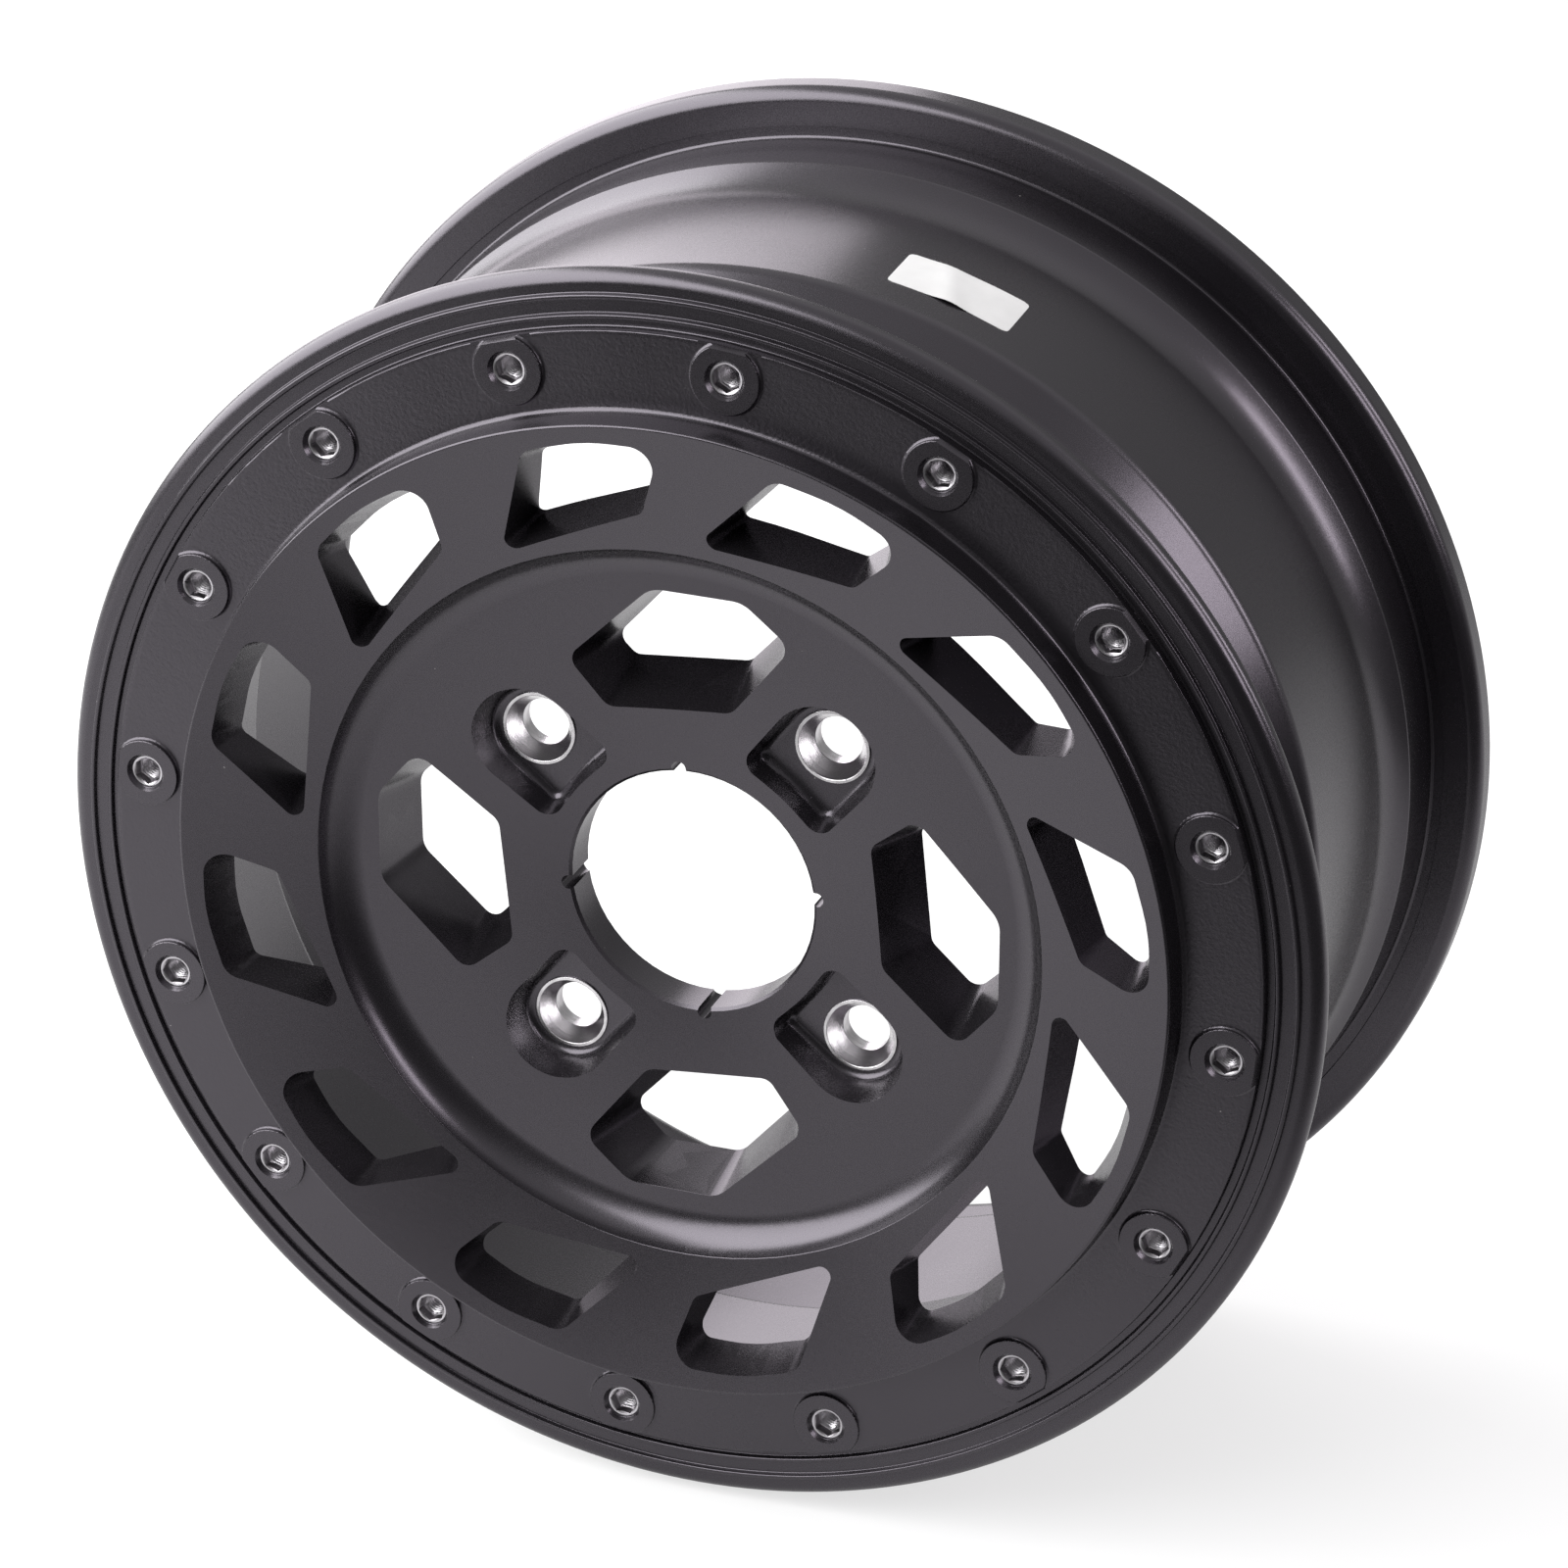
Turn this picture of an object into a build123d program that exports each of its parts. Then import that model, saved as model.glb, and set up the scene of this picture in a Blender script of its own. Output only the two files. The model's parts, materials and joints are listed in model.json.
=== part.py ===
from build123d import *
from math import cos, radians, sin, tan
import os

# Bare 15 x 7 beadlock wheel with its clamp ring off, in millimetres.
# The axle is the Y axis, the front faces -Y and +Z is up. The origin is the
# centre of the hub face, the flat at the back that bolts to the vehicle.
# Turning angles are in degrees from +Z towards +X, clockwise seen from the front.

# Rim
bead_r = 190.1              # rear bead seat of a 15 inch rim
rim_width = 168.9           # front bead plane to rear flange wall
flange_height = 17.7        # rear flange above its bead seat
flange_depth = 12.5         # front wall of the flange to the back edge of its lip
flange_nose = 4.6           # round from the front wall to the outside
flange_wall = 5.2           # flange and rear bead seat
flange_inside_round = 4.3   # front wall into the lip, inside
barrel_wall = 6.8
body_drop = 6.1             # barrel body below the bead seat
well_drop = 14.0            # mounting well below the bead seat
bead_taper = 5.0            # degrees
seat_width = 20.0           # rear bead seat along the axle
seat_hump = 9.0             # raised front part of that seat
hump_drop = 0.5             # behind the hump the seat is this much lower
seat_ramp = 9.0             # ramp from the barrel body up to the bead seat
ramp_round = 28.0           # barrel body into that ramp, outside
step_start = 61.5           # end of the well behind the band
step_length = 9.4           # ramp from the well up to the barrel body
step_lag = 1.5              # the same ramp inside lies this much further back
bend_round = 6.0            # bends along the barrel
bead_round = 1.6
heel_round = 1.2            # bead seat into the flange wall, outside
heel_height = 4.0           # foot of the flange wall, up to a small step
heel_sink = 0.5             # that foot behind the rest of the wall
heel_inside_round = 13.0    # bend behind the heel, inside
back_round = 1.6            # edges of the flange lip

# Front lip
lip_out = 17.4              # lip edge beyond the band
lip_nose = 4.4
lip_thickness = 6.6
lip_heel = 1.9
neck_in = 14.0              # neck behind the lip, inside the lip edge
neck_back = 10.5            # and behind the front bead plane
neck_round = 7.0
well_start = 26.0           # start of the well behind the front bead plane
well_round = 14.0
ridge_places = (3.6, 9.7)   # gripping ridges beyond the band
ridge_foot = 2.0
ridge_crest = 1.1
ridge_height = 1.5
ridge_blend = 0.35
ridge_round = 0.45

# Hub
bore_r = 40.0
bore_chamfer = 0.9
bore_relief = 4.5           # chamfer at the back of the bore
hub_depth = 20.15           # hub face to the front surface, at hub_station_r
hub_station_r = 61.45
hub_slope = 0.1             # rise of the dished hub towards the front, per millimetre
pad_r = 106.0               # flat of the hub face
pad_round = 2.0
notch_r = 2.3
notch_count = 4

# Face and band
band_y = -33.7              # flat band that carries the thread inserts
band_in = 16.0              # face edge inside the insert circle
band_out = 10.1             # band's outer edge beyond the insert circle
band_blend = 1.8
face_rise = 10.0            # outer edge of the face in front of the band
face_edge_lean = 1.0
face_edge_round = 0.7
bead_step = 3.1             # band to the front bead plane
bead_step_lean = 0.2
bead_step_blend = 0.7
crisp = 0.4                 # rounding of turned edges
shoulder_r = 118.8          # sharp edge between the dished hub and the face
shoulder_angle = 70.0       # degrees
shoulder_fillet = 13.0
web_inner_depth = 13.6      # back of the face behind the band plane, by the shoulder
web_outer_depth = 0.3       # and by the face's outer edge
web_inner_out = 13.2        # start of the web beyond the shoulder
web_bend = 8.0
web_corner = 9.0            # web into the inside of the barrel
web_corner_out = 0.4        # that corner beyond the face's outer edge

# Thread inserts
insert_count = 16
insert_circle_in = 12.3     # insert circle inside the bead seat
insert_phase = -16.606
insert_r = 5.2
insert_length = 15.0
insert_edge = 0.15
thread_wall = 1.875         # insert outside to the crest of its thread
socket_wall = 0.58          # insert outside to the corners of its hex socket
socket_depth = 3.6
lead_in_out = 0.175         # lead-in cone beyond the socket's corners, at the mouth
lead_in_in = 0.7            # and inside them, at its bottom
lead_in_depth = 0.525
insert_fit = 0.03           # radial room in the casting
insert_sink = 1.6           # insert mouth below the boss face
countersink_out = 1.1       # countersink beyond the insert
drill_tip = 1.5             # cone at the bottom of the hole
boss_r = 10.9
boss_height = 1.6
boss_foot = 1.0             # fillet round the foot of each boss
boss_round = 0.25
boss_end_lean = 0.9         # slope of the boss end at the band's edge

# Lug seats
lug_count = 4
lug_circle_r = 68.5         # 4 x 137 pattern
lug_phase = 39.415
seat_depth = 11.4           # seat rim to the hub face
seat_head_r = 12.15
seat_head_height = 8.2
seat_hole_r = 7.65
seat_wall = 1.95
seat_rim = 1.15             # flat rim round the cone
seat_cone = 60.0            # degrees, whole angle
seat_proud = 0.6            # seat rim above the pocket floor
seat_fit = 0.03             # radial room in the casting
seat_back_gap = 0.2         # seat short of the hub face
seat_throat_round = 0.4
seat_round = 0.25
pocket_clear = 2.37         # pocket floor beyond the seat
pocket_land = 6.9           # pocket end to the bore, at the hub surface
pocket_end_r = 60.0
pocket_end_drop = 1.5       # sides of that end below its middle
pocket_corner = 5.5
pocket_corner_least = 3.2
pocket_draft = 16.0         # degrees
pocket_fillet = 2.8
pocket_overrun = 6.0        # cutter in front of the hub surface

# Face windows, with corners A and B outside, C and the pointed D inside
window_count = 12
window_phase = 20.0
window_margin = 9.5         # A and B inside the face's outer edge, on the band plane
window_angle_a = -6.45
window_angle_b = 9.0
window_angle_c = 6.52
window_angle_d = -15.8
window_heel = 13.7          # C beyond the shoulder
window_tip = 5.0            # D beyond the shoulder
window_round = 5.0
window_heel_round = 2.6
window_tip_round = 1.7
window_round_least = 0.6
window_crown = 60.0         # radius of the bowed outer side
window_outer_draft = 17.0   # degrees, for the sides A to B
window_right_draft = 13.0   # B to C
window_inner_draft = 15.0   # C to D
window_left_draft = 10.0    # D to A
window_overrun = 8.0        # cutter behind the web

# Hub windows, as corners (across, outward, corner radius) about their centre
hub_window_in = 36.8        # centre of a hub window inside the shoulder
hub_window_front_depth = 24.0
hub_window_front = [
    (-20.6, -22.2, 5.0),
    (-31.6, -4.0, 5.0),
    (-0.2, 20.6, 9.0),
    (29.2, 17.6, 9.0),
    (43.4, 3.1, 5.5),
    (20.4, -22.2, 6.0),
]
hub_window_back = [
    (-18.0, -11.5, 4.0),
    (-23.4, -5.2, 4.0),
    (0.2, 16.6, 7.0),
    (25.1, 14.4, 7.0),
    (35.0, 2.0, 4.5),
    (19.9, -11.5, 4.5),
]

# Blank label on the barrel
label_width = 40.4
label_height = 24.0
label_corner = 2.0
label_thickness = 0.15
label_phase = 17.75
label_back = 98.2           # middle of the label behind the band
label_tilt = 1.6

# Room for cutters beyond the surface they cut
cut_margin = 2.0
tiny = 1e-6

# Derived places
insert_circle_r = bead_r - insert_circle_in
band_outer_r = insert_circle_r + band_out
lip_r = band_outer_r + lip_out
face_edge_r = insert_circle_r - band_in
body_r = bead_r - body_drop
well_r = bead_r - well_drop
flange_r = bead_r + flange_height
face_y = band_y - face_rise
boss_y = band_y - boss_height
mouth_y = boss_y + insert_sink
bead_plane_y = band_y + bead_step
wall_y = bead_plane_y + rim_width
back_y = wall_y + flange_depth
label_y = band_y + label_back
hub_window_r = shoulder_r - hub_window_in
seat_rim_y = -seat_depth
seat_shoulder_y = seat_rim_y + seat_head_height
seat_body_r = seat_hole_r + seat_wall
pocket_floor_y = seat_rim_y + seat_proud
pocket_inner_r = bore_r + pocket_land


def hub_front_y(r):
    """Front surface of the dished hub at radius r."""
    return -hub_depth - hub_slope * (r - hub_station_r)


def corner_frame(points, i):
    """Directions from corner i back and ahead along its sides, and half its angle."""
    back = points[i - 1] - points[i]
    ahead = points[(i + 1) % len(points)] - points[i]
    return back.normalized(), ahead.normalized(), radians(back.get_angle(ahead)) / 2


def limited_reaches(corners, points):
    """Length of side that each corner's arc takes, kept within the sides it has."""
    count = len(points)
    wanted = [corners[i][2] / tan(corner_frame(points, i)[2]) for i in range(count)]
    reaches = []
    for i in range(count):
        share = 1.0
        for j in (i - 1, (i + 1) % count):
            side = (points[j] - points[i]).length
            if wanted[i] + wanted[j] > side:
                share = min(share, side / (wanted[i] + wanted[j]))
        reaches.append(wanted[i] * share)
    return reaches


def rounded_outline(corners):
    """Face inside a closed outline of corners (u, v, radius), each with a tangent arc."""
    points = [Vector(u, v) for u, v, _ in corners]
    arcs = []
    for i, reach in enumerate(limited_reaches(corners, points)):
        back, ahead, half = corner_frame(points, i)
        radius = reach * tan(half)
        inward = (back + ahead).normalized()
        middle = points[i] + inward * (radius / sin(half) - radius)
        arcs.append((points[i] + back * reach, middle, points[i] + ahead * reach))
    edges = []
    for i, (start, middle, end) in enumerate(arcs):
        last = arcs[i - 1][2]
        if (start - last).length > tiny:
            edges.append(Edge.make_line(last, start))
        if (end - start).length > tiny:
            edges.append(Edge.make_three_point_arc(start, middle, end))
    return Face(Wire(edges))


def moved_in(corners, insets, least_radius):
    """Corners of a clockwise outline whose sides each move inwards by their own inset."""
    points = [Vector(u, v) for u, v, _ in corners]
    moved = []
    for i, (_, _, radius) in enumerate(corners):
        back, ahead, _ = corner_frame(points, i)
        before, after = insets[i - 1], insets[i]
        turn = ahead.X * back.Y - ahead.Y * back.X
        along_ahead = -before / turn
        along_back = -after / turn
        place = points[i] + ahead * along_ahead + back * along_back
        moved.append((place.X, place.Y, max(radius - (before + after) / 2, least_radius)))
    return moved


def facing_front(y):
    """Plane across the axle at y, with its u along +X and its v along +Z."""
    return Plane(origin=(0, y, 0), x_dir=(1, 0, 0), z_dir=(0, -1, 0))


def turned(shape, angle):
    """Shape turned about the axle."""
    return Rot(0, angle, 0) * shape


def ring_of(shape, count, phase):
    """Copies of a shape spread evenly round the axle."""
    return [turned(shape, phase + 360 * k / count) for k in range(count)]


def post(r, y_front, y_back, out):
    """Cylinder along the axle direction, at radius out above the axle."""
    return Location((0, y_back, out)) * Rot(90, 0, 0) * Cylinder(
        r, y_back - y_front, align=(Align.CENTER, Align.CENTER, Align.MIN))


def turned_about_post(profile, out):
    """Revolved solid whose own axis is parallel to the axle, at radius out."""
    return Location((0, 0, out)) * revolve(profile, Axis.Y)


def polar(r, angle):
    """Across and outward coordinates of a point at an angle from outward."""
    return r * sin(radians(angle)), r * cos(radians(angle))


def bead_ridge(r):
    """Corners of one gripping ridge on the front bead plane."""
    crest_y = bead_plane_y - ridge_height
    return [
        (r - ridge_foot / 2, bead_plane_y, ridge_blend),
        (r - ridge_crest / 2, crest_y, ridge_round),
        (r + ridge_crest / 2, crest_y, ridge_round),
        (r + ridge_foot / 2, bead_plane_y, ridge_blend),
    ]


def front_corners():
    """Profile corners from the bore out along the front to the bead plane."""
    lean = 1 / tan(radians(shoulder_angle))
    rise = (hub_front_y(shoulder_r) - band_y) / (1 - hub_slope * lean)
    return [
        (bore_r, hub_front_y(bore_r) + bore_chamfer, 0),
        (bore_r + bore_chamfer, hub_front_y(bore_r), 0),
        (shoulder_r - rise * lean, band_y + rise, shoulder_fillet),
        (shoulder_r, band_y, crisp),
        (face_edge_r, face_y, face_edge_round),
        (face_edge_r + face_edge_lean, band_y, band_blend),
        (band_outer_r, band_y, crisp),
        (band_outer_r + bead_step_lean, bead_plane_y, bead_step_blend),
    ]


def rim_corners():
    """Profile corners from the front bead plane over the lip and barrel to the rear lip."""
    ridges = [corner for out in ridge_places for corner in bead_ridge(band_outer_r + out)]
    taper = tan(radians(bead_taper))
    heel_r = bead_r - hump_drop + seat_width * taper
    foot_r = heel_r + heel_height
    hump_r = bead_r + seat_hump * taper
    step_y = band_y + step_start
    seat_y = wall_y - seat_width
    hump_y = seat_y + seat_hump
    return ridges + [
        (lip_r, bead_plane_y, lip_nose),
        (lip_r, bead_plane_y + lip_thickness, lip_heel),
        (lip_r - neck_in, bead_plane_y + neck_back, neck_round),
        (well_r, bead_plane_y + well_start, well_round),
        (well_r, step_y, bend_round),
        (body_r, step_y + step_length, bend_round),
        (body_r, seat_y - seat_ramp, ramp_round),
        (bead_r, seat_y, bead_round),
        (hump_r, hump_y, hump_drop / 2),
        (hump_r - hump_drop, hump_y + hump_drop, hump_drop / 2),
        (heel_r, wall_y + heel_sink, heel_round),
        (foot_r, wall_y + heel_sink, heel_sink / 3),
        (foot_r, wall_y, heel_sink / 3),
        (flange_r, wall_y, flange_nose),
        (flange_r, back_y, back_round),
    ]


def inside_corners():
    """Profile corners from the rear lip along the inside and the hub's back to the bore."""
    lip_inside_r = flange_r - flange_wall
    seat_inside_r = bead_r - flange_wall
    body_inside_r = body_r - barrel_wall
    flare_y = wall_y + flange_wall
    seat_y = wall_y - seat_width
    step_y = band_y + step_start + step_lag
    return [
        (lip_inside_r, back_y, back_round),
        (lip_inside_r, flare_y, flange_inside_round),
        (seat_inside_r, flare_y, heel_inside_round),
        (seat_inside_r, seat_y, bend_round),
        (body_inside_r, seat_y - seat_ramp, bend_round),
        (body_inside_r, step_y + step_length, bend_round),
        (well_r - barrel_wall, step_y, bend_round),
        (face_edge_r + web_corner_out, band_y + web_outer_depth, web_corner),
        (shoulder_r + web_inner_out, band_y + web_inner_depth, web_bend),
        (pad_r, 0, pad_round),
        (bore_r + bore_relief, 0, 0),
        (bore_r, -bore_relief, 0),
    ]


def boss():
    """Raised round boss at one insert, with a filleted foot and an end at the band's edge."""
    skirt_r = boss_r + boss_foot + cut_margin
    root_y = band_y + cut_margin
    profile = rounded_outline([
        (0, boss_y, 0),
        (boss_r, boss_y, boss_round),
        (boss_r, band_y, boss_foot),
        (skirt_r, band_y, 0),
        (skirt_r, root_y, 0),
        (0, root_y, 0),
    ])
    limit = rounded_outline([
        (0, boss_y, 0),
        (band_outer_r - boss_end_lean, boss_y, 0),
        (band_outer_r, band_y, 0),
        (band_outer_r, root_y, 0),
        (0, root_y, 0),
    ])
    return turned_about_post(profile, insert_circle_r) & revolve(limit, Axis.Y)


def insert_hole():
    """Countersunk blind hole that takes one insert."""
    hole_r = insert_r + insert_fit
    mouth_r = insert_r + countersink_out
    end_y = mouth_y + insert_length
    profile = rounded_outline([
        (0, boss_y - cut_margin, 0),
        (mouth_r + cut_margin, boss_y - cut_margin, 0),
        (mouth_r, boss_y, crisp),
        (hole_r, mouth_y, 0),
        (hole_r, end_y, 0),
        (0, end_y + drill_tip, 0),
    ])
    return turned_about_post(profile, insert_circle_r)


def face_window():
    """Tapered cutter for one swept window of the face."""
    outer_r = face_edge_r - window_margin
    middle = (window_angle_a + window_angle_b) / 2
    crown_r = outer_r / cos(radians(window_angle_b - middle))
    outline = [
        (*polar(outer_r, window_angle_a), window_round),
        (*polar(crown_r, middle), window_crown),
        (*polar(outer_r, window_angle_b), window_round),
        (*polar(shoulder_r + window_heel, window_angle_c), window_heel_round),
        (*polar(shoulder_r + window_tip, window_angle_d), window_tip_round),
    ]
    front = window_section(outline, face_y - cut_margin)
    back = window_section(outline, band_y + web_inner_depth + window_overrun)
    return loft([front, back], ruled=True)


def window_section(outline, y):
    """Outline of a face window at y: the band plane's outline moved in by its drafts."""
    drafts = (window_outer_draft, window_outer_draft, window_right_draft,
              window_inner_draft, window_left_draft)
    insets = [(y - band_y) * tan(radians(draft)) for draft in drafts]
    return facing_front(y) * rounded_outline(moved_in(outline, insets, window_round_least))


def hub_window():
    """Tapered cutter for one six-sided window between the lugs."""
    front = hub_window_section(hub_window_front, -hub_window_front_depth)
    back = hub_window_section(hub_window_back, 0)
    mouth = extrude(front, amount=face_rise, dir=(0, -1, 0))
    exit_end = extrude(back, amount=cut_margin, dir=(0, 1, 0))
    return loft([front, back], ruled=True) + mouth + exit_end


def hub_window_section(corners, y):
    """Hub window outline placed on the plane at y."""
    placed = [(u, v + hub_window_r, radius) for u, v, radius in corners]
    return facing_front(y) * rounded_outline(placed)


def pocket_section(y):
    """Arched outline of a lug pocket at y."""
    slope = tan(radians(pocket_draft))
    wide = seat_head_r + pocket_clear + (pocket_floor_y - y) * slope
    inset = (y - hub_front_y(lug_circle_r)) * slope
    low = pocket_inner_r + inset
    top = lug_circle_r + wide
    corner = max(pocket_corner - inset, pocket_corner_least)
    return facing_front(y) * rounded_outline([
        (-wide, low - pocket_end_drop, corner),
        (0, low, pocket_end_r),
        (wide, low - pocket_end_drop, corner),
        (wide, top, wide),
        (-wide, top, wide),
    ])


def lug_pocket():
    """Drafted pocket round one lug, with a filleted floor."""
    top_y = hub_front_y(lug_circle_r) - pocket_overrun
    body = loft([pocket_section(top_y), pocket_section(pocket_floor_y)], ruled=True)
    floor_edges = body.faces().sort_by(Axis.Y)[-1].edges()
    return fillet(floor_edges, pocket_fillet)


def lug_hole():
    """Stepped hole that takes one pressed lug seat."""
    head = post(seat_head_r + seat_fit, pocket_floor_y - cut_margin, seat_shoulder_y, lug_circle_r)
    body = post(seat_body_r + seat_fit, seat_shoulder_y - cut_margin, cut_margin, lug_circle_r)
    return head + body


def make_casting():
    """The one-piece cast wheel with its windows, pockets and holes."""
    profile = rounded_outline(front_corners() + rim_corners() + inside_corners())
    wheel = revolve(profile, Axis.Y)
    wheel += ring_of(boss(), insert_count, insert_phase)
    notch = post(notch_r, hub_front_y(bore_r) - cut_margin, cut_margin, bore_r + notch_r / 2)
    between_lugs = lug_phase + 180 / lug_count
    wheel -= ring_of(face_window(), window_count, window_phase)
    wheel -= ring_of(hub_window(), lug_count, between_lugs)
    wheel -= ring_of(lug_pocket(), lug_count, lug_phase)
    wheel -= ring_of(lug_hole(), lug_count, lug_phase)
    wheel -= ring_of(insert_hole(), insert_count, insert_phase)
    wheel -= ring_of(notch, notch_count, between_lugs)
    return wheel


def thread_insert():
    """One hex-drive threaded insert, its thread left plain."""
    bore = insert_r - thread_wall
    socket_r = insert_r - socket_wall
    end_y = mouth_y + insert_length
    body = turned_about_post(rounded_outline([
        (bore, mouth_y, 0),
        (insert_r - insert_edge, mouth_y, 0),
        (insert_r, mouth_y + insert_edge, 0),
        (insert_r, end_y, 0),
        (bore, end_y, 0),
    ]), insert_circle_r)
    hexagon = Pos(0, insert_circle_r) * RegularPolygon(socket_r, 6)
    socket = extrude(facing_front(mouth_y) * hexagon, amount=socket_depth, dir=(0, 1, 0))
    lead_in = turned_about_post(rounded_outline([
        (0, mouth_y, 0),
        (socket_r + lead_in_out, mouth_y, 0),
        (socket_r - lead_in_in, mouth_y + lead_in_depth, 0),
        (0, mouth_y + lead_in_depth, 0),
    ]), insert_circle_r)
    return body - socket - lead_in


def lug_seat():
    """One pressed steel seat with a conical mouth for a lug nut."""
    cone_r = seat_head_r - seat_rim
    cone_depth = (cone_r - seat_hole_r) / tan(radians(seat_cone / 2))
    profile = rounded_outline([
        (seat_hole_r, seat_rim_y + cone_depth, seat_throat_round),
        (cone_r, seat_rim_y, seat_round),
        (seat_head_r, seat_rim_y, seat_round),
        (seat_head_r, seat_shoulder_y, 0),
        (seat_body_r, seat_shoulder_y, 0),
        (seat_body_r, -seat_back_gap, seat_round),
        (seat_hole_r, -seat_back_gap, seat_round),
    ])
    return turned_about_post(profile, lug_circle_r)


def blank_label():
    """Thin blank label that follows the barrel."""
    half_w = label_width / 2
    half_h = label_height / 2
    sheet = rounded_outline([
        (-half_w, -half_h, label_corner),
        (half_w, -half_h, label_corner),
        (half_w, half_h, label_corner),
        (-half_w, half_h, label_corner),
    ])
    above = Plane(origin=(0, label_y, 0), x_dir=(1, 0, 0), z_dir=(0, 0, 1))
    flat = above * Rot(0, 0, label_tilt) * sheet
    column = extrude(flat, amount=flange_r, dir=(0, 0, 1))
    skin = post(body_r + label_thickness, label_y - label_width, label_y + label_width, 0)
    skin -= post(body_r, label_y - label_width, label_y + label_width, 0)
    return turned(column & skin, label_phase)


def main():
    """Build every piece and write one file for each."""
    os.makedirs("parts", exist_ok=True)
    export_step(make_casting(), "parts/wheel_casting.step")
    inserts = ring_of(thread_insert(), insert_count, insert_phase)
    export_step(Compound(children=inserts), "parts/thread_inserts.step")
    for number, seat in enumerate(ring_of(lug_seat(), lug_count, lug_phase), 1):
        export_step(seat, f"parts/lug_seat_{number}.step")
    export_step(blank_label(), "parts/blank_label.step")


if __name__ == "__main__":
    main()
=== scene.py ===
import json
from collections import Counter
from itertools import permutations
from math import atan2, cos, dist, exp, hypot, inf, pi, radians, sin, sqrt

import bmesh
import bpy
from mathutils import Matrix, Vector
from mathutils.geometry import intersect_point_line


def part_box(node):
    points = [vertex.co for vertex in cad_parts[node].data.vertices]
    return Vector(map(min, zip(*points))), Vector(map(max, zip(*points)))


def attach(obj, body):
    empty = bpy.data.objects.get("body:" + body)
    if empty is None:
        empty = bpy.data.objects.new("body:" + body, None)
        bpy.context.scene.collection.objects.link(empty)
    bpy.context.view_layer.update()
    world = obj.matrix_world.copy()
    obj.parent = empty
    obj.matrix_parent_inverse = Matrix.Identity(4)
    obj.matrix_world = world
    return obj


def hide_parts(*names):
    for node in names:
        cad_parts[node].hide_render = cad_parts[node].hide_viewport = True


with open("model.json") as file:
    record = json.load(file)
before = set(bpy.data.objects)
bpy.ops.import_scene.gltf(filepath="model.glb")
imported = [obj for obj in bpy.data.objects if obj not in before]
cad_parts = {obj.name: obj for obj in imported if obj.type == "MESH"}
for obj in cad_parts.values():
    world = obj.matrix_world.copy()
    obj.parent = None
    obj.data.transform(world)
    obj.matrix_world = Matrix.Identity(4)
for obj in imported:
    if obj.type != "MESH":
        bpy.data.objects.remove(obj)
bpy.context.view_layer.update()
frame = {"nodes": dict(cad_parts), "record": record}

# Bare beadlock wheel, in metres. The axle is Y, the front faces -Y and +Z is up.
# Angles about the axle, or about an insert, run clockwise from +Z seen from the front.
MM = 0.001

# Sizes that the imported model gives
ring_bolts = next(m for m in frame["record"]["mounts"] if m["name"] == "ring_bolts")["dims"]
insert_circle_r = ring_bolts["pcd_mm"] / 2 * MM
insert_count = ring_bolts["count"]
thread_crest_r = ring_bolts["hole_r_mm"] * MM
mouth_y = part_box("thread_inserts")[0].y
insert_end_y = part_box("thread_inserts")[1].y
label_low, label_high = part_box("blank_label")
floor_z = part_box("wheel_casting")[0].z

# Thread inserts
insert_phase = radians(-16.606)
insert_r = 5.2 * MM
insert_edge = 0.15 * MM
socket_corner_r = 4.62 * MM
socket_depth = 3.6 * MM
socket_floor_round = 0.25 * MM
socket_turns = (50.6, 59.5, 22, 22, 50)     # a corner of the first sockets, in degrees from +Z
socket_turn_step = 37                       # turn from each of the rest to the next
lead_in_r = 4.795 * MM          # lead-in cone at the mouth
lead_in_slope = 0.6             # depth of that cone per metre inwards
thread_root_r = 3.97 * MM
thread_pitch = 1.25 * MM
thread_flat = 0.12              # share of the pitch that is flat at crest and root
ring_points = 48
rings_per_pitch = 10

# Blank label
label_width = 40.4 * MM
label_height = 24.0 * MM
label_corner = 2.0 * MM
label_thickness = 0.15 * MM
label_r = 184.0 * MM
label_phase = radians(17.75)
label_tilt = radians(1.6)
label_y = (label_low.y + label_high.y) / 2
label_columns = 96
label_rows = 48
crease_front = 0.5 * MM         # place of the crease at the front edge, from the middle
crease_back = -6.8 * MM         # and at the back edge
crease_front_lift = 0.8 * MM
crease_back_lift = 0.4 * MM
crease_width = 5.0 * MM

# Turned zones and shading of the casting
strip_segments = 236
rim_front_y = -21.3 * MM        # the rim is what lies behind this depth
rim_front_r = 188.0 * MM        # or outside this radius
face_edge_low = 161.05 * MM     # the face's raised edge lies between these radii
face_edge_high = 164.5 * MM
face_edge_back = -33.6 * MM     # and in front of this depth
outline_depth = 0.15 * MM       # how near a zone's outline all of a facet's corners lie
ring_step = 0.005 * MM          # points about this near in radius and depth are on one turned ring
ring_gap = 0.09 * MM            # least distance between the rings that are kept
ring_least = 20                 # fewest points that count as a ring
angle_digits = 5                # points on a ring that agree to these digits of a radian are one
join_distance = 0.002 * MM
sharp_angle = radians(32)
slope_step = radians(1)
turned_limit = 0.05             # sideways lean that a turned surface's facet may have

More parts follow.
